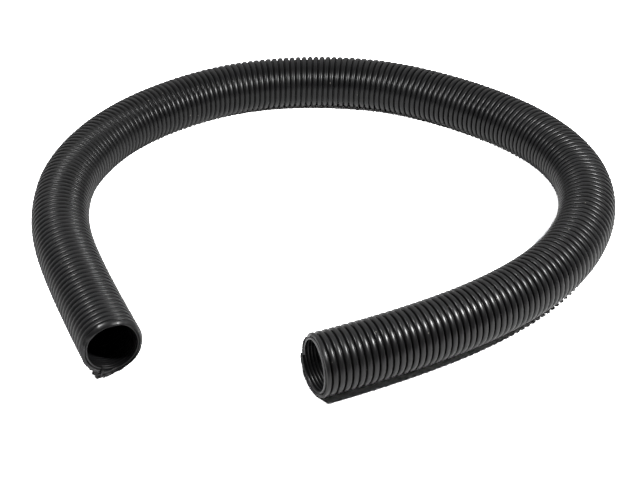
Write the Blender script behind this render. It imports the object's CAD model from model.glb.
# %% [markdown]
# A corrugated pool hose, lying on the floor in one open loop.
#
# The real hose is a plastic strip wound into a left-hand spiral. Each turn is welded to the next,
# which leaves a broad hollow crown, a narrow welded lip and a deep groove once per turn, and a thin
# smooth liner closes the ribs on the inside. Both ends are cut plain.
# Lengths are in metres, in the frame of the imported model. A length in millimetres says so, or is
# turned to metres with MM.

# %% Load the frame
import math
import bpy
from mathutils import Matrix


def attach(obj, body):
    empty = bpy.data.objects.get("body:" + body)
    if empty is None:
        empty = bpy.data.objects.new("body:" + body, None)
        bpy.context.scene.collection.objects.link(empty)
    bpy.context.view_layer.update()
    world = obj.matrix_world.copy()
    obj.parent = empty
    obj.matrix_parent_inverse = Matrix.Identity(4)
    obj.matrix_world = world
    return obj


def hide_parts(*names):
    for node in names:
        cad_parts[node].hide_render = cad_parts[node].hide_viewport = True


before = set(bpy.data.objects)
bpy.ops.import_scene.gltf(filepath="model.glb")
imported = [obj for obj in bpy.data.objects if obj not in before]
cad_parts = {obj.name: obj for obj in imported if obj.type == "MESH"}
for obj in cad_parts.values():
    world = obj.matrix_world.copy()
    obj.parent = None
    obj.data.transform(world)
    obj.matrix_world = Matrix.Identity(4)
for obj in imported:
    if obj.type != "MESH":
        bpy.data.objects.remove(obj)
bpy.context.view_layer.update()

from types import SimpleNamespace

import bpy
import numpy as np

MM = 0.001
TURN = 2 * math.pi
print("nodes:", sorted(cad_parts))

# %% [markdown]
# The camera comes first, because it decides how much detail each piece needs. The photograph looks
# down on the loop from the front at about 35 degrees, through a long lens: the back of the hose is
# only a quarter smaller than the front. The lens is written as a focal length in pixels of the
# 640 pixel wide picture, and the camera looks at one point of the floor, inside the loop.

# %% Camera
PICTURE_WIDTH = 640
FOCAL_PIXELS = 1353.7
SENSOR_WIDTH = 36.0
NEAREST_SEEN = 0.05
FARTHEST_SEEN = 50.0
CAMERA_ELEVATION = math.radians(35.42)
CAMERA_DISTANCE = 1.1238
LOOK_AT = np.array([-3.85, -22.6, -0.5]) * MM


def make_camera():
    """A camera that looks along +Y and down, at LOOK_AT, from CAMERA_DISTANCE away."""
    data = bpy.data.cameras.new("camera")
    data.sensor_width = SENSOR_WIDTH
    data.lens = FOCAL_PIXELS * SENSOR_WIDTH / PICTURE_WIDTH
    data.clip_start = NEAREST_SEEN
    data.clip_end = FARTHEST_SEEN
    camera = bpy.data.objects.new("camera", data)
    back = np.array([0.0, -math.cos(CAMERA_ELEVATION), math.sin(CAMERA_ELEVATION)])
    camera.location = LOOK_AT + back * CAMERA_DISTANCE
    camera.rotation_euler = (math.pi / 2 - CAMERA_ELEVATION, 0.0, 0.0)
    bpy.context.scene.collection.objects.link(camera)
    bpy.context.scene.camera = camera
    print("lens of %.1f mm" % data.lens)


make_camera()

# %% [markdown]
# The sizes across the hose, from the bore outwards. The bore is a standard 38 mm. The crest of the
# ribs stands a little further out than in the solids, where the highlights put it. Under its own
# weight the hose rests on a narrow flat, so its middle lies a little lower than a round rib would
# hold it.

# %% Sizes across the hose
BORE_RADIUS = 19.0 * MM
LINER_RADIUS = 20.1 * MM
LINER_WALL = LINER_RADIUS - BORE_RADIUS
CROWN_FOOT_RADIUS = 21.4 * MM
CREST_RADIUS = 23.55 * MM
FLOOR_FLAT = 0.5 * MM
CENTRE_HEIGHT = CREST_RADIUS - FLOOR_FLAT
print("%.1f mm over the ribs, %.1f mm inside" % (2 * CREST_RADIUS / MM, 2 * BORE_RADIUS / MM))

# %% [markdown]
# The hose follows one smooth line on the floor. Its control points are the corners of the route that
# the solids follow too. Straight runs and arcs would do, but highlights kink where they meet, and a
# real hose bends gently. So a NURBS spline of order 3 rounds every corner. Blender works out its
# points, which are then measured from one end to the other.

# %% The line of the hose
# Millimetres, from the front end round the right, the back and the left to the left end
ROUTE = np.array([
    (-7, -209),
    (77, -175),
    (171, -108),
    (216, -33),
    (222, 44),
    (188, 114),
    (117, 173),
    (32, 210),
    (-81, 202),
    (-173, 138),
    (-218, 56),
    (-220, -25),
    (-193, -105),
    (-153, -189),
]) * MM
POINTS_PER_CORNER = 48
SAME_PLACE = 1e-7


def spline_points(corners, height):
    """Points of the NURBS spline whose control points are the route's corners, at one height."""
    curve = bpy.data.curves.new("hose_line", "CURVE")
    curve.dimensions = "3D"
    curve.resolution_u = POINTS_PER_CORNER
    spline = curve.splines.new("NURBS")
    spline.points.add(len(corners) - 1)
    weighted = np.column_stack([corners, np.full(len(corners), height), np.ones(len(corners))])
    spline.points.foreach_set("co", weighted.ravel())
    spline.order_u = 3
    spline.use_endpoint_u = True
    line = bpy.data.objects.new("hose_line", curve)
    mesh = bpy.data.meshes.new_from_object(line)
    found = np.empty(len(mesh.vertices) * 3)
    mesh.vertices.foreach_get("co", found)
    bpy.data.objects.remove(line)
    bpy.data.curves.remove(curve)
    bpy.data.meshes.remove(mesh)
    return found.reshape(-1, 3)


def step_lengths(points):
    """The straight distance from each point to the next."""
    return np.linalg.norm(np.diff(points, axis=0), axis=1)


line = spline_points(ROUTE, CENTRE_HEIGHT)
line = line[np.concatenate([[True], step_lengths(line) > SAME_PLACE])]
travelled = np.concatenate([[0.0], np.cumsum(step_lengths(line))])
HOSE_LENGTH = travelled[-1]
directions = np.gradient(line, travelled, axis=0)
directions /= np.linalg.norm(directions, axis=1)[:, None]
print("hose length %.1f mm, %d points" % (HOSE_LENGTH / MM, len(line)))


def on_hose(distance, angle, radius):
    """Points at a distance along the line, an angle round it and a radius.

    Centre of the line, plus radius times sin(angle) to the right and cos(angle) upwards. Past either
    end the line goes straight on. What would be under the floor is pressed flat on it.
    """
    distance, angle, radius = np.broadcast_arrays(distance, angle, radius)
    inside = np.clip(distance, 0.0, HOSE_LENGTH)
    centre = np.stack([np.interp(inside, travelled, line[:, k]) for k in range(3)], -1)
    along = np.stack([np.interp(inside, travelled, directions[:, k]) for k in range(3)], -1)
    along /= np.linalg.norm(along, axis=-1)[..., None]
    centre = centre + along * (distance - inside)[..., None]
    right = np.stack([along[..., 1], -along[..., 0], np.zeros_like(distance)], -1)
    place = centre + right * (radius * np.sin(angle))[..., None]
    place[..., 2] += radius * np.cos(angle)
    place[..., 2] = np.maximum(place[..., 2], 0.0)
    return place


# %% [markdown]
# The spiral. The hose is bent by hand, so its turns lie closer on some stretches than on others, from
# 5.1 to 5.7 mm apart. One even pitch would soon drift away from the ribs of the photograph, so the
# turns were counted on it between landmarks along the hose, and every rib is laid where the count
# puts it. Angles round the hose are read as on a clock, by someone who looks into the front end.

# %% The spiral
# Millimetres along the hose, and turns of the strip counted up to there
COUNTED = np.array([
    (0, 0.27), (60, 11.92), (120, 23.45), (180, 34.75), (230, 43.86), (280, 52.64), (330, 61.35),
    (380, 70.39), (440, 81.48), (500, 92.72), (560, 103.88), (610, 112.83), (660, 121.89),
    (720, 132.80), (770, 141.79), (830, 152.88), (890, 163.99), (950, 175.25), (1000, 184.44),
    (1050, 193.39), (1100, 202.53), (1150, 211.98), (1194.5, 220.63),
])
COUNTED_MM = COUNTED[:, 0]
COUNTED_TURNS = COUNTED[:, 1]
# Millimetres from turn to turn past both ends, and the angle at which the strip starts
END_PITCH = 5.1
STRIP_START = math.radians(-103)
turns = COUNTED_TURNS[-1] - COUNTED_TURNS[0]
print("%.1f turns, pitch %.2f mm on average" % (turns, COUNTED_MM[-1] / turns))


def turn_angle(turn):
    """The angle round the hose at a turn of the strip. It falls as a left-hand spiral moves on."""
    return STRIP_START - turn * TURN


def on_spiral(turn, across):
    """Distance along the hose and angle round it, from the turn of the strip and the place across it.

    Across runs from the middle of one groove, 0, to the middle of the next, 1, so the count there is
    the turn plus across less a half.
    """
    count = turn + across - 0.5
    inside = np.clip(count, COUNTED_TURNS[0], COUNTED_TURNS[-1])
    distance = np.interp(inside, COUNTED_TURNS, COUNTED_MM) + (count - inside) * END_PITCH
    return distance * MM, turn_angle(turn)


def place_across(distance, turn):
    """The other way round: where a turn of the strip is crossed at a distance, in millimetres."""
    inside = np.clip(distance, COUNTED_MM[0], COUNTED_MM[-1])
    count = np.interp(inside, COUNTED_MM, COUNTED_TURNS) + (distance - inside) / END_PITCH
    return count - turn + 0.5


# %% [markdown]
# All surfaces of the hose share this spiral: the outside of the strip, the bore inside it and the
# cut faces at the ends. So one helper is enough. It takes a grid of points, whose rows run along the
# strip and whose columns run across it, and gives the mesh a UV map in real metres.

# %% Grid helper
def grid_mesh(name, points, along_strip, across_strip, outward):
    """A mesh from a grid of points. Each square of the grid is one face.

    along_strip and across_strip are the UV map, in metres. Faces turn towards outward, a direction
    for each point of the grid.
    """
    rows, columns = points.shape[:2]
    index = np.arange(rows * columns).reshape(rows, columns)
    a, b = index[:-1, :-1], index[:-1, 1:]
    c, d = index[1:, 1:], index[1:, :-1]
    span_along = points[1:, :-1] - points[:-1, :-1]
    span_across = points[:-1, 1:] - points[:-1, :-1]
    facing = np.sum(np.cross(span_across, span_along) * outward[:-1, :-1])
    corners = (a, b, c, d) if facing > 0 else (a, d, c, b)
    faces = np.stack(corners, -1).reshape(-1, 4)
    mesh = bpy.data.meshes.new(name)
    mesh.vertices.add(rows * columns)
    mesh.vertices.foreach_set("co", points.reshape(-1))
    mesh.loops.add(faces.size)
    mesh.loops.foreach_set("vertex_index", faces.reshape(-1))
    mesh.polygons.add(len(faces))
    mesh.polygons.foreach_set("loop_start", np.arange(0, faces.size, 4))
    mesh.polygons.foreach_set("use_smooth", np.ones(len(faces), bool))
    mesh.update(calc_edges=True)
    u, v, _ = np.broadcast_arrays(along_strip, across_strip, points[..., 0])
    place = np.stack([u, v], -1).reshape(-1, 2)
    mesh.uv_layers.new(name="strip").uv.foreach_set("vector", place[faces.reshape(-1)].reshape(-1))
    mesh.validate()
    piece = bpy.data.objects.new(name, mesh)
    bpy.context.scene.collection.objects.link(piece)
    print(name, "has", len(faces), "faces")
    return piece


# %% [markdown]
# The outline of a rib, once per pitch. Every lamp's highlight in the photograph shows how steep the
# rib is at one place across it. Together they draw a crown that is round on top, has its top just
# before the middle of the pitch and drops steeply on both sides. The neighbour's edge is welded on
# low down on its far side: a narrow lip, and then a deep groove. Crown and lip are superellipses,
# because their few values can be matched to the highlights, and where they meet the higher one wins.

# %% Outline of a rib
# Middle, half width, height in millimetres and squareness of each bump, in a pitch that is 1 wide
CROWN_HEIGHT = 2.15
CROWN_BACK = (0.475, 0.41, CROWN_HEIGHT, 3.1)
CROWN_FRONT = (0.475, 0.43, CROWN_HEIGHT, 3.4)
LIP = (0.89, 0.05, 1.0, 2.6)
# Where each side of the crown turns down steeply and how far on it ends, in shares of its half width
BACK_DROP = (0.66, 0.29)
FRONT_DROP = (0.70, 0.26)
# Millimetres: what is lower than this is groove, and the groove goes this far under the crown's foot
LEAST_HEIGHT = 0.01
GROOVE_DROP = 0.5


def bump(across, middle, half, height, squareness):
    """Height of a bump with steep sides and a broad top: height * sqrt(1 - x ^ squareness).

    x runs from 0 in the middle to 1 at the foot.
    """
    x = np.abs(across - middle) / half
    return height * np.sqrt(np.clip(1.0 - x ** squareness, 0.0, None))


def steep_drop(across, shape, begins, width):
    """1 on the round top of a crown, falling to 0 along a quarter of an ellipse at its side."""
    x = np.abs(across - shape[0]) / shape[1]
    down = np.clip((x - begins) / width, 0.0, 1.0)
    return np.sqrt(1.0 - down ** 2)


def rib_height(across):
    """Millimetres above the foot of the crown, at a place across the strip from 0 to 1.

    The height of the crown or the lip, whichever is higher. The narrow groove between a lip and the
    next crown goes a little deeper than that foot.
    """
    back = bump(across, *CROWN_BACK) * steep_drop(across, CROWN_BACK, *BACK_DROP)
    front = bump(across, *CROWN_FRONT) * steep_drop(across, CROWN_FRONT, *FRONT_DROP)
    crown = np.where(across < CROWN_BACK[0], back, front)
    height = np.maximum(crown, bump(across, *LIP))
    return np.where(height > LEAST_HEIGHT, height, -GROOVE_DROP)


def outside_radius(across):
    """Radius of the outside at a place across the strip: the crown's foot plus the rib's height."""
    return CROWN_FOOT_RADIUS + rib_height(across) * MM


# %% [markdown]
# A crown that is repeated 220 times may have only a few faces across. Their edges stand close
# together on the steep sides, where the outline turns fast, and wide apart on the round top. They are
# written as shares of the crown's half width. On the lip they follow the angle of its superellipse.

# %% Places of the edges across a rib
BACK_SHARES = [-0.951, -0.94, -0.89, -0.80, -0.68, -0.50, -0.25]
FRONT_SHARES = [0.10, 0.38, 0.58, 0.70, 0.78, 0.86]
# The place where crown and lip meet, and the first angle, last angle and points round the lip
CREASE = 0.870
LIP_ROUND = (80, 180, 5)


def crown_places(shape, shares):
    """Places across a crown: its middle plus shares of its half width."""
    return shape[0] + shape[1] * np.array(shares)


def lip_places():
    """Places across the lip: its middle less its half width times cos(angle) ^ (2 / squareness)."""
    side = np.cos(np.radians(np.linspace(*LIP_ROUND)))
    return LIP[0] - LIP[1] * np.sign(side) * np.abs(side) ** (2 / LIP[3])


crown_across = np.concatenate([
    [0.0], crown_places(CROWN_BACK, BACK_SHARES), crown_places(CROWN_FRONT, FRONT_SHARES), [CREASE]])
lip_across = np.concatenate([[CREASE], lip_places(), [1.0]])
print("a rib has", len(crown_across) + len(lip_across) - 2, "faces across")

# %% [markdown]
# The bore is called smooth, and water runs through it freely, but the photograph shows fine ridges
# inside: the edges of the wound strip. There are two low ridges to each pitch, and each one is a
# bell curve, which has no hard edge.

# %% Ridges of the bore
# Places and widths are shares of the pitch, and the height is in millimetres
RIDGE_PLACES = (0.24, 0.74)
RIDGE_HEIGHT = 0.30
RIDGE_WIDTH = 0.07
RIDGE_EDGES = np.array([-0.12, -0.06, 0.0, 0.06, 0.12])
first_ridge, second_ridge = RIDGE_PLACES
bore_across = np.concatenate([
    [0.0], first_ridge + RIDGE_EDGES, [0.5], second_ridge + RIDGE_EDGES, [1.0]])
print("the bore has", len(bore_across) - 1, "faces across a pitch")


def bore_radius(across):
    """Radius of the bore less the ridges: height * exp(-((across - place) / width) ^ 2) for each."""
    total = np.zeros_like(across)
    for place in RIDGE_PLACES:
        total = total + RIDGE_HEIGHT * np.exp(-((across - place) / RIDGE_WIDTH) ** 2)
    return BORE_RADIUS - total * MM


# %% [markdown]
# Where the hose is cut. At the front end the knife followed the groove for two thirds of a turn and
# then crossed the rib, back towards where it began. The left end was sawn nearly square, but the last
# tenth of a turn leaves a pointed tab. Where the blade pushed, the outer skin bends down to its edge
# over a round shoulder. The edge of the skin stands past the cut in the liner, or falls short of it.
#
# Each end is a set of values. A list holds places round the end, as shares of a turn from the step in
# the cut, with a value in millimetres for each. Between them the value changes evenly. A flat plane
# would be a simpler cut, but the ragged lines of a hand cut are what the eye sees first at an end.

# %% The two cuts
# A share of a turn that only tells one side of a step from the other
JUST = 1e-6
LEFT_STEP = 220.297
FIRST_WHOLE_TURN = 1.0
LAST_WHOLE_TURN = 220.0
# The hollow of the ribs begins a little outside the liner, and the skin always bends down a little
LINER_GAP = 0.15 * MM
HOLLOW_INSIDE = LINER_RADIUS + LINER_GAP
LEAST_SHOULDER = 0.1 * MM

# out: the way along the hose that leads out of this end
# line_end: where the hose's line ends, in millimetres
# step: the turn of the strip at which the cut begins and ends
# turns: the first and last turn of the strip that this end trims
# cut: how far past the end of the line the liner is cut
# skin: how far the edge of the skin stands out past that cut
# shoulder: length of the bent shoulder
# bent: how far in the skin is bent at its edge, at most
# skin_inside: the least radius that the skin is bent to
# smeared_radius: where the shoulder is narrower than this, plastic smeared by the saw fills it up
# open_all_round: whether the hollow is open at full depth all round, but for the sawn share
# sawn: the share of a turn where the edge is sawn rough
FRONT = SimpleNamespace(
    out=-1.0,
    line_end=0.0,
    step=0.0,
    turns=(-0.27, FIRST_WHOLE_TURN),
    cut=[(0.00, -2.7), (0.06, -2.9), (0.12, -2.9), (0.77, 0.4), (0.84, 0.2), (1.00, -1.1)],
    skin=[
        (0.00, 0.0), (0.05, 1.0), (0.10, 1.4), (0.30, 1.2), (0.42, -0.6), (0.74, -0.6),
        (0.82, 0.4), (1.00, 0.4)],
    shoulder=[(0.00, 0.5), (1.00, 0.5)],
    bent=[(0.00, 0.2), (0.34, 0.2), (0.44, 2.2), (0.74, 2.2), (0.82, 0.3), (1.00, 0.2)],
    skin_inside=22.1 * MM,
    smeared_radius=0.0,
    open_all_round=True,
    sawn=(0.02, 0.33),
)
LEFT = SimpleNamespace(
    out=1.0,
    line_end=HOSE_LENGTH / MM,
    step=LEFT_STEP,
    turns=(LAST_WHOLE_TURN, LEFT_STEP + 1.0 - JUST),
    cut=[
        (0.00, -0.5), (0.17, -0.2), (0.21, -1.1), (0.25, -1.4), (0.29, -0.6), (0.42, 0.0),
        (0.46, 0.0), (0.50, -1.3), (0.58, -1.4), (0.67, -0.2), (0.83, 0.0), (0.91, 0.3),
        (1.00, 3.8)],
    skin=[(0.00, 0.3), (0.24, 0.3), (0.35, 2.0), (0.62, 2.0), (0.86, 1.2), (1.00, 0.3)],
    shoulder=[(0.00, 0.4), (0.15, 0.4), (0.26, 3.4), (0.84, 3.4), (0.95, 0.4), (1.00, 0.4)],
    bent=[(0.00, 0.2), (0.15, 0.2), (0.26, 2.2), (0.84, 2.2), (0.95, 0.2), (1.00, 0.2)],
    skin_inside=HOLLOW_INSIDE + LEAST_SHOULDER,
    smeared_radius=23.0 * MM,
    open_all_round=False,
    sawn=(0.0, 0.22),
)
for name, end in (("front", FRONT), ("left", LEFT)):
    drop = abs(end.cut[-1][1] - end.cut[0][1])
    print("the cut of the %s end has a step of %.1f mm" % (name, drop))

# %% [markdown]
# Three lines go round each end: the cut in the liner, the edge of the skin, and the place where the
# skin starts to bend. All are worked out the same way, as distances along the hose, so that one
# function can trim any surface of the strip to any of them.

# %% Lines round the cuts
def round_end(turn, end, values):
    """The value of one of an end's lists at the angle of this turn, in proportion between its points."""
    shares, found = np.array(values).T
    return np.interp((turn - end.step) % 1.0, shares, found)


def cut_distance(turn, end):
    """Millimetres along the hose at which the liner is cut: the end of the line plus the list."""
    return end.line_end + round_end(turn, end, end.cut)


def skin_distance(turn, end):
    """Millimetres along the hose at which the outer skin ends: the cut, and the skin's own past it."""
    return cut_distance(turn, end) + end.out * round_end(turn, end, end.skin)


def shoulder_distance(turn, end):
    """Millimetres along the hose at which the skin starts to bend: its edge less the shoulder."""
    return skin_distance(turn, end) - end.out * round_end(turn, end, end.shoulder)


print("at its step the left skin ends %.1f mm along the hose" % skin_distance(LEFT.step, LEFT))

# %% [markdown]
# The strip is laid along the whole hose as three bands: the crown, the lip with the groove, and the
# ridged bore. Every row of a band is a place along the spiral, so the ribs join up with no seams, as
# they do on the real hose. Rings would be simpler, but their ribs would stand square to the line.

# %% Strip along the whole hose
STEPS_PER_TURN = 32


def strip_mesh(name, turn, low, high, share, radius, inward=False):
    """A band of the strip: one row for each turn, from low to high across it, in shares.

    radius gives the distance from the hose's line at a place across the strip.
    """
    turn = turn[:, None]
    across = low + (high - low) * share[None, :]
    distance, angle = on_spiral(turn, across)
    points = on_hose(distance, angle, radius(across))
    outward = on_hose(distance, angle, CREST_RADIUS) - on_hose(distance, angle, BORE_RADIUS)
    if inward:
        outward = -outward
    return grid_mesh(name, points, turn * TURN * CREST_RADIUS, across * END_PITCH * MM, outward)


rows = round((LAST_WHOLE_TURN - FIRST_WHOLE_TURN) * STEPS_PER_TURN) + 1
whole_turns = np.linspace(FIRST_WHOLE_TURN, LAST_WHOLE_TURN, rows)
crown = strip_mesh("rib_crown", whole_turns, 0.0, 1.0, crown_across, outside_radius)
lip = strip_mesh("seam_lip", whole_turns, 0.0, 1.0, lip_across, outside_radius)
bore = strip_mesh("inner_bore", whole_turns, 0.0, 1.0, bore_across, bore_radius, True)

# %% [markdown]
# The first and the last turns are trimmed by the cuts, so their bands run from the cut to the end of
# the strip, or from its start to the cut. They get more steps, because they are seen from the end.

# %% Trimmed turns
# Steps to a turn, points across, and the least share of a pitch that a band keeps, so that no face
# closes up
TRIM_STEPS = 72
TRIM_COLUMNS = 44
NARROWEST = 0.02


def trimmed_mesh(name, end, ends_at, radius, inward=False):
    """The strip between a whole turn and the line that it ends at, with the width that is left."""
    first, last = end.turns
    turn = np.linspace(first, last, round((last - first) * TRIM_STEPS) + 1)
    turn = np.sort(np.append(turn, [end.step - JUST, end.step]))
    edge = np.clip(place_across(ends_at(turn, end), turn), 0.0, 1.0)[:, None]
    if end is FRONT:
        low, high = np.minimum(edge, 1.0 - NARROWEST), np.ones_like(edge)
    else:
        low, high = np.zeros_like(edge), np.maximum(edge, NARROWEST)
    return strip_mesh(name, turn, low, high, np.linspace(0.0, 1.0, TRIM_COLUMNS), radius, inward)


front_rib = trimmed_mesh("front_end_rib", FRONT, shoulder_distance, outside_radius)
left_rib = trimmed_mesh("left_end_rib", LEFT, shoulder_distance, outside_radius)
front_bore = trimmed_mesh("front_end_bore", FRONT, cut_distance, bore_radius, True)
left_bore = trimmed_mesh("left_end_bore", LEFT, cut_distance, bore_radius, True)

# %% [markdown]
# The skin at a cut. At the left end it is bent most of the way down to the liner, so the last rib
# ends in a round glossy shoulder, except on the sawn share, where the edge is blunt. At the front end
# it is bent in only from two fifths to three quarters of the turn. Between skin and liner the cut
# opens the hollow of a rib, or meets the weld under a lip, which fills the wall.

# %% Skin and hollow at a cut
# How steeply the shoulder starts, as a share of its mean slope
SHOULDER_STARTS = 0.42
# How far the edge falls back in millimetres: in the hollow of a crown, in a weld and elsewhere
HOLLOW_DEPTH = 2.4
WELD_DEPTH = 0.3
GAP_DEPTH = 0.8
# Where the hollow of a crown and the weld under a lip lie, in a pitch that is 1 wide
HOLLOW_PLACE = (0.16, 0.62)
WELD_PLACE = (0.62, 0.95)


def between(value, span):
    """Whether a value lies inside a span."""
    return (value > span[0]) & (value < span[1])


def hollow_depth(across):
    """Millimetres that the edge falls back between skin and liner: most in a crown, least in a weld."""
    in_weld = np.where(between(across, WELD_PLACE), WELD_DEPTH, GAP_DEPTH)
    return np.where(between(across, HOLLOW_PLACE), HOLLOW_DEPTH, in_weld)


def bent_skin(turn, bend, end):
    """Radius of the skin along its shoulder, where bend runs from 0, straight, to 1, at its edge.

    The radius of the outside less the drop times (s * bend + (1 - s) * bend ^ 2), where s says how
    steeply the shoulder starts. The drop is what the skin is bent in, or less where it has no room.
    """
    most = round_end(turn, end, end.bent) * MM
    outside = outside_radius(place_across(shoulder_distance(turn, end), turn) % 1.0)
    outside = np.where(bend > 0.0, np.maximum(outside, end.smeared_radius), outside)
    drop = np.clip(np.minimum(outside - end.skin_inside, most), LEAST_SHOULDER, None)
    return outside - drop * (SHOULDER_STARTS * bend + (1.0 - SHOULDER_STARTS) * bend ** 2)


print("the hollow of a rib is open for %.0f percent of a pitch" % (100 * np.ptp(HOLLOW_PLACE)))

# %% [markdown]
# The cut edges. One grid makes each edge. It goes once round the rim, and from the outside to the
# bore: down the shoulder, into the hollow, out again along the liner, and over the round bead in
# which the liner ends. At the front end the liner's edge stands out of the dark open hollow. Waves
# that don't repeat with the ribs keep the edge from looking machined.

# %% Cut edges
# Millimetres: how far the bottom of the hollow keeps behind the skin's edge besides its own depth,
# the length of liner that shows pale, and the height of the bead
SKIN_LEDGE = 0.1
PALE_LENGTH = 0.7
BEAD_HEIGHT = 0.35
SKIN_WALL = 0.4 * MM
# The unevenness of the edge in millimetres, its waves to a turn, and its share on the bead
FACE_ROUGH = 0.12
FACE_WAVES = (9.0, 4.0)
WAVE_SHIFT = 1.0
BEAD_ROUGH = 0.4
# Steps once round, points down the shoulder, through the hollow and over the bead, and the faces
# between them
RIM_STEPS = 144
SHOULDER_STEPS = 6
HOLLOW_STEPS = 4
BEAD_STEPS = 9
RIM_COLUMNS = SHOULDER_STEPS + HOLLOW_STEPS + BEAD_STEPS - 1


def rim_mesh(name, end):
    """The cut edge, once round an end of the hose. Every stand is in millimetres out past the cut."""
    turn = np.linspace(0.0, 1.0 - JUST, RIM_STEPS + 1)[:, None] + end.step
    around = np.ones_like(turn)
    across = place_across(shoulder_distance(turn, end), turn) % 1.0
    open_depth = HOLLOW_DEPTH if end.open_all_round else hollow_depth(across)
    depth = np.where(between(turn - end.step, end.sawn), WELD_DEPTH, open_depth)
    fine, coarse = FACE_WAVES
    uneven = FACE_ROUGH * np.sin(fine * turn * TURN) * np.sin(coarse * turn * TURN + WAVE_SHIFT)
    bend = np.linspace(0.0, 1.0, SHOULDER_STEPS)[None, :]
    past_cut = end.out * (skin_distance(turn, end) - cut_distance(turn, end))
    skin_radius = bent_skin(turn, bend, end)
    skin_stand = past_cut + round_end(turn, end, end.shoulder) * (bend - 1.0) + uneven * bend
    skin_edge = skin_radius[:, -1:]
    skin_wall = np.minimum(SKIN_WALL, (skin_edge - HOLLOW_INSIDE) / 2)
    behind_skin = skin_edge - skin_wall
    inside = HOLLOW_INSIDE * around
    hollow_radius = np.concatenate([behind_skin, behind_skin, inside, inside], 1)
    floor_stand = np.minimum(past_cut - SKIN_LEDGE, 0.0) - depth
    liner_stand = np.maximum(floor_stand, -PALE_LENGTH)
    hollow_stand = np.concatenate([past_cut + uneven, floor_stand, floor_stand, liner_stand], 1)
    bead = np.radians(np.linspace(0.0, 180.0, BEAD_STEPS))[None, :]
    bead_radius = (BORE_RADIUS + LINER_WALL / 2 * (1.0 + np.cos(bead))) * around
    bead_stand = (BEAD_HEIGHT + BEAD_ROUGH * uneven) * np.sin(bead)
    radius = np.concatenate([skin_radius, hollow_radius, bead_radius], 1)
    stand = np.concatenate([skin_stand, hollow_stand, bead_stand], 1)
    place = (cut_distance(turn, end) + end.out * stand) * MM
    angle = turn_angle(turn)
    points = on_hose(place, angle, radius)
    facing = end.out * (on_hose(place + MM, angle, LINER_RADIUS) - on_hose(place, angle, LINER_RADIUS))
    return grid_mesh(name, points, turn * TURN * CREST_RADIUS, radius, facing)


front_rim = rim_mesh("front_cut_edge", FRONT)
left_rim = rim_mesh("left_cut_edge", LEFT)

# %% [markdown]
# Each cut comes back to where it began a little further along the hose. That leaves a step, a face
# that runs along the hose and straight down to the bore. Its top follows the skin, bent where the
# skin is bent.

# %% Steps
# Points along the hose and down the face, and an angle that only tells which side is open
STEP_ROWS = 9
STEP_COLUMNS = 7
SMALL_ANGLE = 0.01


def step_mesh(name, end):
    """The step in the cut of one end: a grid from one side of the cut to the other, and down."""
    far_side = end.step + 1.0 - JUST
    if end is FRONT:
        long_side = end.step
        first, last = skin_distance(end.step, end), shoulder_distance(far_side, end)
    else:
        long_side = far_side
        first, last = shoulder_distance(end.step, end), skin_distance(far_side, end)
    distance = np.linspace(first, last, STEP_ROWS)[:, None]
    past_shoulder = end.out * (distance - shoulder_distance(long_side, end))
    bend = past_shoulder / round_end(long_side, end, end.shoulder)
    straight = outside_radius(place_across(distance, end.step) % 1.0)
    outside = np.where(bend > 0.0, bent_skin(long_side, np.clip(bend, 0.0, 1.0), end), straight)
    radius = outside + (BORE_RADIUS - outside) * np.linspace(0.0, 1.0, STEP_COLUMNS)[None, :]
    angle = turn_angle(end.step)
    points = on_hose(distance * MM, angle, radius)
    facing = on_hose(distance * MM, angle - end.out * SMALL_ANGLE, radius) - points
    return grid_mesh(name, points, distance * MM, radius, facing)


front_step = step_mesh("front_cut_step", FRONT)
left_step = step_mesh("left_cut_step", LEFT)

# %% [markdown]
# Materials are made of nodes. One small helper adds a node with its settings and links. Colours are
# written as they look on a screen, and turned to linear light.

# %% Material helpers
# The sockets of a Mix node have the same names for every kind of value, so they go by number here. A
# Math node reads its sockets 0, 1 and 2 in the order of its formula.
MIX_FACTOR = 0
NUMBER_A = 2
NUMBER_B = 3
NUMBER_OUT = 0
COLOUR_A = 6
COLOUR_B = 7
COLOUR_OUT = 2


def linear(code):
    """The linear colour of an sRGB hex code, by the two parts of the sRGB curve."""
    parts = [int(code[k:k + 2], 16) / 255 for k in (1, 3, 5)]
    return tuple(p / 12.92 if p <= 0.04045 else ((p + 0.055) / 1.055) ** 2.4 for p in parts) + (1.0,)


def new_material(name):
    """A material with nodes, and its shader."""
    material = bpy.data.materials.new(name)
    material.use_nodes = True
    return material, material.node_tree.nodes["Principled BSDF"]


def add_node(tree, kind, settings=None, links=None):
    """One node with its settings, linked from other nodes' outputs."""
    node = tree.nodes.new(kind)
    for key, value in (settings or {}).items():
        if isinstance(key, str) and hasattr(node, key):
            setattr(node, key, value)
        else:
            node.inputs[key].default_value = value
    for key, output in (links or {}).items():
        tree.links.new(output, node.inputs[key])
    return node


def put_on(material, pieces):
    """Gives a material to pieces, after those that they already have."""
    for piece in pieces:
        piece.data.materials.append(material)
    print(material.name, "is on", ", ".join(piece.name for piece in pieces))


# %% [markdown]
# The outside is a black polyethylene blend, extruded as a strip and wound while warm. That gives the
# eye a satin gloss, faint streaks along the strip from the die, and soft changes of tone where it was
# handled. Dust sticks to it in specks. The streaks follow the UV map, which runs along the strip, and
# the rest follows the piece itself.

# %% Black extruded polyethylene
# Streaks from the die are about 0.1 mm wide. They are drawn 0.7 mm wide and 30 mm long, because
# finer ones don't show. Dust specks are up to 1 mm across and rare, because few cells have one.
STREAK_WIDTH = 0.7 * MM
STREAK_LENGTH = 30 * MM
HANDLED_PATCH = 45 * MM
SPECK_SPACING = 6.0 * MM
CELLS_WITHOUT_SPECK = 0.78
STREAK_ROUGHNESS = 0.03
DUST_ROUGHNESS = 0.4
POLYETHYLENE_IOR = 1.51
STREAK_SCALE = (1 / STREAK_LENGTH, 1 / STREAK_WIDTH, 1.0)

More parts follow.
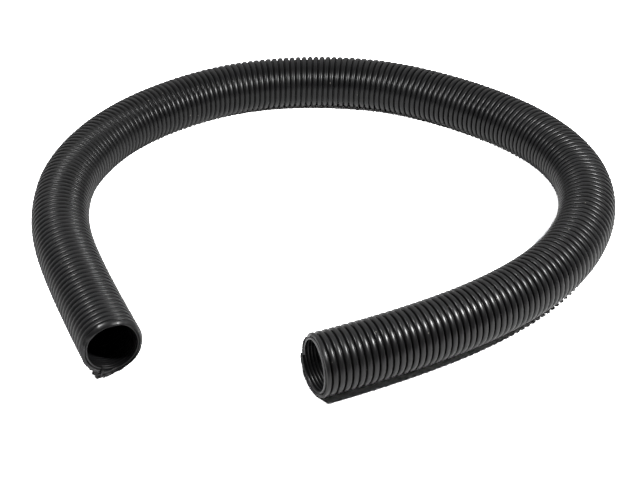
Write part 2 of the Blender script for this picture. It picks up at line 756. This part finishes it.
skin, shader = new_material("black extruded polyethylene")
tree = skin.node_tree
shader.inputs["IOR"].default_value = POLYETHYLENE_IOR
uv = add_node(tree, "ShaderNodeUVMap", {"uv_map": "strip"})
place = add_node(tree, "ShaderNodeTexCoord")
along = add_node(tree, "ShaderNodeMapping", {"Scale": STREAK_SCALE}, {"Vector": uv.outputs["UV"]})
streaks = add_node(tree, "ShaderNodeTexNoise", {"Scale": 1.0, "Detail": 3.0, "Roughness": 0.6}, {
    "Vector": along.outputs["Vector"]})
patches = add_node(tree, "ShaderNodeTexNoise", {
    "Scale": 1 / HANDLED_PATCH, "Detail": 4.0, "Roughness": 0.55}, {"Vector": place.outputs["Object"]})
specks = add_node(tree, "ShaderNodeTexVoronoi", {"Scale": 1 / SPECK_SPACING}, {
    "Vector": place.outputs["Object"]})
dust = add_node(tree, "ShaderNodeMapRange", {
    "interpolation_type": "SMOOTHSTEP", "From Min": 0.05, "From Max": 0.10, "To Min": 1.0, "To Max": 0.0},
    {"Value": specks.outputs["Distance"]})
chosen = add_node(tree, "ShaderNodeMath", {"operation": "GREATER_THAN", 1: CELLS_WITHOUT_SPECK}, {
    0: specks.outputs["Color"]})
dusty = add_node(tree, "ShaderNodeMath", {"operation": "MULTIPLY"}, {
    0: dust.outputs["Result"], 1: chosen.outputs["Value"]})
tone = add_node(tree, "ShaderNodeMix", {
    "data_type": "RGBA", COLOUR_A: linear("#0c0c0d"), COLOUR_B: linear("#151516")}, {
    MIX_FACTOR: patches.outputs["Fac"]})
lines = add_node(tree, "ShaderNodeMapRange", {
    "From Min": 0.50, "From Max": 0.80, "To Min": 0.0, "To Max": 0.4}, {"Value": streaks.outputs["Fac"]})
streaked = add_node(tree, "ShaderNodeMix", {"data_type": "RGBA", COLOUR_B: linear("#1c1c1d")}, {
    MIX_FACTOR: lines.outputs["Result"], COLOUR_A: tone.outputs[COLOUR_OUT]})
specked = add_node(tree, "ShaderNodeMix", {"data_type": "RGBA", COLOUR_B: linear("#8a8781")}, {
    MIX_FACTOR: dusty.outputs["Value"], COLOUR_A: streaked.outputs[COLOUR_OUT]})
tree.links.new(specked.outputs[COLOUR_OUT], shader.inputs["Base Color"])
gloss = add_node(tree, "ShaderNodeMapRange", {
    "From Min": 0.3, "From Max": 0.7, "To Min": 0.27, "To Max": 0.36}, {"Value": patches.outputs["Fac"]})
rough = add_node(tree, "ShaderNodeMath", {"operation": "MULTIPLY_ADD", 1: STREAK_ROUGHNESS}, {
    0: streaks.outputs["Fac"], 2: gloss.outputs["Result"]})
dull = add_node(tree, "ShaderNodeMath", {
    "operation": "MULTIPLY_ADD", 1: DUST_ROUGHNESS, "use_clamp": True}, {
    0: dusty.outputs["Value"], 2: rough.outputs["Value"]})
tree.links.new(dull.outputs["Value"], shader.inputs["Roughness"])
put_on(skin, [crown, lip, front_rib, left_rib])

# %% [markdown]
# The liner is the same plastic without the gloss of the outside, and a film of dust makes it a
# little paler. Its streaks follow the strip too, so they go round the bore with it.

# %% Dull black liner
PLASTIC_IOR = 1.5

bore_plastic, shader = new_material("dull black liner")
tree = bore_plastic.node_tree
shader.inputs["IOR"].default_value = PLASTIC_IOR
uv = add_node(tree, "ShaderNodeUVMap", {"uv_map": "strip"})
along = add_node(tree, "ShaderNodeMapping", {"Scale": STREAK_SCALE}, {"Vector": uv.outputs["UV"]})
streaks = add_node(tree, "ShaderNodeTexNoise", {"Scale": 1.0, "Detail": 3.0}, {
    "Vector": along.outputs["Vector"]})
tone = add_node(tree, "ShaderNodeMix", {
    "data_type": "RGBA", COLOUR_A: linear("#0d0d0e"), COLOUR_B: linear("#19191a")}, {
    MIX_FACTOR: streaks.outputs["Fac"]})
tree.links.new(tone.outputs[COLOUR_OUT], shader.inputs["Base Color"])
rough = add_node(tree, "ShaderNodeMapRange", {"To Min": 0.32, "To Max": 0.42}, {
    "Value": streaks.outputs["Fac"]})
tree.links.new(rough.outputs["Result"], shader.inputs["Roughness"])
put_on(bore_plastic, [bore, front_bore, left_bore])

# %% [markdown]
# A saw leaves the plastic greyer and rougher than the skin, with marks across the wall and pale
# crumbs that hang on. Noise as coarse as the marks gives the tone, the roughness and a low relief,
# and the crumbs are spots of their own.

# %% Sawn polyethylene
SAW_MARK = 0.9 * MM
CRUMB_SPACING = 2.2 * MM
MARK_RELIEF = 0.15 * MM

sawn, shader = new_material("sawn polyethylene")
tree = sawn.node_tree
shader.inputs["IOR"].default_value = PLASTIC_IOR
place = add_node(tree, "ShaderNodeTexCoord")
marks = add_node(tree, "ShaderNodeTexNoise", {"Scale": 1 / SAW_MARK, "Detail": 5.0, "Roughness": 0.7}, {
    "Vector": place.outputs["Object"]})
crumbs = add_node(tree, "ShaderNodeTexVoronoi", {"Scale": 1 / CRUMB_SPACING}, {
    "Vector": place.outputs["Object"]})
pale = add_node(tree, "ShaderNodeMapRange", {
    "interpolation_type": "SMOOTHSTEP", "From Min": 0.10, "From Max": 0.22, "To Min": 0.8, "To Max": 0.0},
    {"Value": crumbs.outputs["Distance"]})
tone = add_node(tree, "ShaderNodeMix", {
    "data_type": "RGBA", COLOUR_A: linear("#2b2b2c"), COLOUR_B: linear("#474748")}, {
    MIX_FACTOR: marks.outputs["Fac"]})
crumbed = add_node(tree, "ShaderNodeMix", {"data_type": "RGBA", COLOUR_B: linear("#8f8f90")}, {
    MIX_FACTOR: pale.outputs["Result"], COLOUR_A: tone.outputs[COLOUR_OUT]})
tree.links.new(crumbed.outputs[COLOUR_OUT], shader.inputs["Base Color"])
rough = add_node(tree, "ShaderNodeMapRange", {"To Min": 0.42, "To Max": 0.68}, {
    "Value": marks.outputs["Fac"]})
tree.links.new(rough.outputs["Result"], shader.inputs["Roughness"])
relief = add_node(tree, "ShaderNodeBump", {"Strength": 0.5, "Distance": MARK_RELIEF}, {
    "Height": marks.outputs["Fac"]})
tree.links.new(relief.outputs["Normal"], shader.inputs["Normal"])
put_on(sawn, [front_step, left_step])

# %% [markdown]
# At the front end the blade pulled the liner's edge out, and stretched plastic of this kind turns
# pale. It is smoother than a sawn face and has the same coarse change of tone.

# %% Stretched polyethylene
pale_edge, shader = new_material("stretched polyethylene")
tree = pale_edge.node_tree
shader.inputs["IOR"].default_value = PLASTIC_IOR
place = add_node(tree, "ShaderNodeTexCoord")
marks = add_node(tree, "ShaderNodeTexNoise", {"Scale": 1 / SAW_MARK, "Detail": 4.0, "Roughness": 0.6}, {
    "Vector": place.outputs["Object"]})
tone = add_node(tree, "ShaderNodeMix", {
    "data_type": "RGBA", COLOUR_A: linear("#4c4c4d"), COLOUR_B: linear("#9a9a9b")}, {
    MIX_FACTOR: marks.outputs["Fac"]})
tree.links.new(tone.outputs[COLOUR_OUT], shader.inputs["Base Color"])
rough = add_node(tree, "ShaderNodeMapRange", {"To Min": 0.34, "To Max": 0.50}, {
    "Value": marks.outputs["Fac"]})
tree.links.new(rough.outputs["Result"], shader.inputs["Roughness"])

# %% [markdown]
# The cut edges have up to three finishes. They are glossy where the blade bent the skin and sawn
# where it tore the weld. Past the sawn share of the front end, the bead of the liner and the face
# that leads to it are stretched and pale. A finish is chosen face by face, so the grid stays whole.

# %% Finishes of the cut edges
RIM_FINISHES = (skin, sawn, pale_edge)
GLOSSY, ROUGH, PALE = range(len(RIM_FINISHES))
for finish in RIM_FINISHES:
    put_on(finish, [front_rim, left_rim])
share = np.linspace(0.0, 1.0, RIM_STEPS)
for piece, end in ((front_rim, FRONT), (left_rim, LEFT)):
    finishes = np.full((RIM_STEPS, RIM_COLUMNS), GLOSSY)
    finishes[between(share, end.sawn)] = ROUGH
    if end is FRONT:
        finishes[share >= end.sawn[1], -BEAD_STEPS:] = PALE
    piece.data.polygons.foreach_set("material_index", finishes.ravel())

# %% [markdown]
# The floor is white paper, which ends on a darker bench. The photographer exposed for the black
# plastic, so the paper is far over white: it is dark only where both lamps are hidden, and one lamp
# alone still burns it out. That is the large colour that the floor shows to the camera. It is
# smaller round the front stretch, where more of the shadow's soft edge shows. What lights the hose
# is paper of an ordinary white, and what it mirrors is a quarter brighter.

# %% Floor
FLOOR_SIZE = 8.0
FLOOR_DROP = 0.1 * MM
# Grey of the paper and of the bench, and metres from the origin between which one becomes the other
PAPER_NEAR = 0.8
BENCH_FAR = 0.12
PAPER_ENDS = (0.45, 1.1)
MIRRORED_GAIN = 1.25
# The colour shown to the camera, and the metres from the front stretch between which it grows
SHOWN_COLOUR = (2.7, 6.5)
SHOWN_GROWS = (0.16, 0.42)
FRONT_STRETCH = (0.08, -0.20, 0.0)

half = FLOOR_SIZE / 2
floor_mesh = bpy.data.meshes.new("floor")
floor_mesh.from_pydata(
    [(-half, -half, 0), (half, -half, 0), (half, half, 0), (-half, half, 0)], [], [(0, 1, 2, 3)])
floor = bpy.data.objects.new("floor", floor_mesh)
floor.location.z = -FLOOR_DROP
bpy.context.scene.collection.objects.link(floor)

paper, shader = new_material("white paper")
tree = paper.node_tree
place = add_node(tree, "ShaderNodeTexCoord")
reach = add_node(tree, "ShaderNodeVectorMath", {"operation": "LENGTH"}, {0: place.outputs["Object"]})
sheet = add_node(tree, "ShaderNodeMapRange", {
    "interpolation_type": "SMOOTHSTEP", "From Min": PAPER_ENDS[0], "From Max": PAPER_ENDS[1],
    "To Min": PAPER_NEAR, "To Max": BENCH_FAR}, {"Value": reach.outputs["Value"]})
path = add_node(tree, "ShaderNodeLightPath")
gain = add_node(tree, "ShaderNodeMath", {
    "operation": "MULTIPLY_ADD", 1: MIRRORED_GAIN - 1.0, 2: 1.0}, {0: path.outputs["Is Glossy Ray"]})
gained = add_node(tree, "ShaderNodeMath", {"operation": "MULTIPLY"}, {
    0: sheet.outputs["Result"], 1: gain.outputs["Value"]})
from_front = add_node(tree, "ShaderNodeVectorMath", {"operation": "DISTANCE", 1: FRONT_STRETCH}, {
    0: place.outputs["Object"]})
shown = add_node(tree, "ShaderNodeMapRange", {
    "interpolation_type": "SMOOTHSTEP", "From Min": SHOWN_GROWS[0], "From Max": SHOWN_GROWS[1],
    "To Min": SHOWN_COLOUR[0], "To Max": SHOWN_COLOUR[1]}, {"Value": from_front.outputs["Value"]})
seen = add_node(tree, "ShaderNodeMix", {"data_type": "FLOAT"}, {
    MIX_FACTOR: path.outputs["Is Camera Ray"], NUMBER_A: gained.outputs["Value"],
    NUMBER_B: shown.outputs["Result"]})
diffuse = add_node(tree, "ShaderNodeBsdfDiffuse", None, {"Color": seen.outputs[NUMBER_OUT]})
tree.links.new(diffuse.outputs["BSDF"], tree.nodes["Material Output"].inputs["Surface"])
tree.nodes.remove(shader)
put_on(paper, [floor])

# %% [markdown]
# Two small round lamps stand in front of the hose, one on each side, and each makes its own row of
# highlights on the ribs. Small lamps are right, because the highlights are short and the shadows
# have a narrow soft edge. At the hose the right lamp gives about 1.7 times the light of the left.

# %% Lamps
# Name, place in metres and power in watts of each lamp
LAMPS = [
    ("right_lamp", (0.414, -0.231, 0.555), 5.0),
    ("left_lamp", (-0.407, -0.241, 0.654), 3.6),
]
LAMP_SIZE = 0.05
LAMP_TARGET = (0.0, 0.0, 0.0)


def aim(place, target):
    """The rotation that turns a lamp's -Z towards a target: tilted from the vertical, then turned."""
    x, y, z = np.array(target) - np.array(place)
    return (math.atan2(math.hypot(x, y), -z), 0.0, math.atan2(x, -y) + math.pi)


for name, place, power in LAMPS:
    data = bpy.data.lights.new(name, "AREA")
    data.shape = "DISK"
    data.size = LAMP_SIZE
    data.energy = power
    lamp = bpy.data.objects.new(name, data)
    lamp.location = place
    lamp.rotation_euler = aim(place, LAMP_TARGET)
    bpy.context.scene.collection.objects.link(lamp)
    print(name, "stands", round(math.dist(place, LAMP_TARGET), 2), "m away")

# %% [markdown]
# The hose mirrors a pale studio wall behind it and a dim room in front, so that it stays dark
# towards the camera. The camera itself sees a plain white world. Nothing else gets more than a trace
# of light from the room, which keeps the shadow on the floor dark.

# %% World
BACK_WALL = 0.55
FRONT_ROOM = 0.10
ROOM_FOR_FLOOR = 0.002
WORLD_WHITE = 1.0
# Between which directions the wall fades in, as the share of a direction that points to the back
WALL_FADES = (-0.1, 0.6)
world = bpy.data.worlds.new("studio")
world.use_nodes = True
bpy.context.scene.world = world
tree = world.node_tree
background = tree.nodes["Background"]
background.inputs["Color"].default_value = (1.0, 1.0, 1.0, 1.0)
place = add_node(tree, "ShaderNodeTexCoord")
parts = add_node(tree, "ShaderNodeSeparateXYZ", None, {"Vector": place.outputs["Generated"]})
room = add_node(tree, "ShaderNodeMapRange", {
    "interpolation_type": "SMOOTHSTEP", "From Min": WALL_FADES[0], "From Max": WALL_FADES[1],
    "To Min": FRONT_ROOM, "To Max": BACK_WALL}, {"Value": parts.outputs["Y"]})
path = add_node(tree, "ShaderNodeLightPath")
mirrored = add_node(tree, "ShaderNodeMix", {"data_type": "FLOAT", NUMBER_A: ROOM_FOR_FLOOR}, {
    MIX_FACTOR: path.outputs["Is Glossy Ray"], NUMBER_B: room.outputs["Result"]})
seen = add_node(tree, "ShaderNodeMix", {"data_type": "FLOAT", NUMBER_B: WORLD_WHITE}, {
    MIX_FACTOR: path.outputs["Is Camera Ray"], NUMBER_A: mirrored.outputs[NUMBER_OUT]})
tree.links.new(seen.outputs[NUMBER_OUT], background.inputs["Strength"])
bpy.context.scene.view_settings.view_transform = "Standard"
print("the room behind is %.1f times as bright as in front" % (BACK_WALL / FRONT_ROOM))

# %% [markdown]
# Last, each piece is told what it belongs to. All ride on the one body, because no piece of a hose
# turns against another. The crown stands for the ribbed wall and the bore for the liner, and the
# whole is declared as one cord along its line. The boxes of both models are written down.

# %% Finish
PIECES = [
    crown, lip, bore, front_rib, left_rib, front_bore, left_bore, front_rim, left_rim, front_step,
    left_step]
for piece in PIECES:
    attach(piece, "root")
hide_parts("ribbed_wall")
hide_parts("inner_liner")
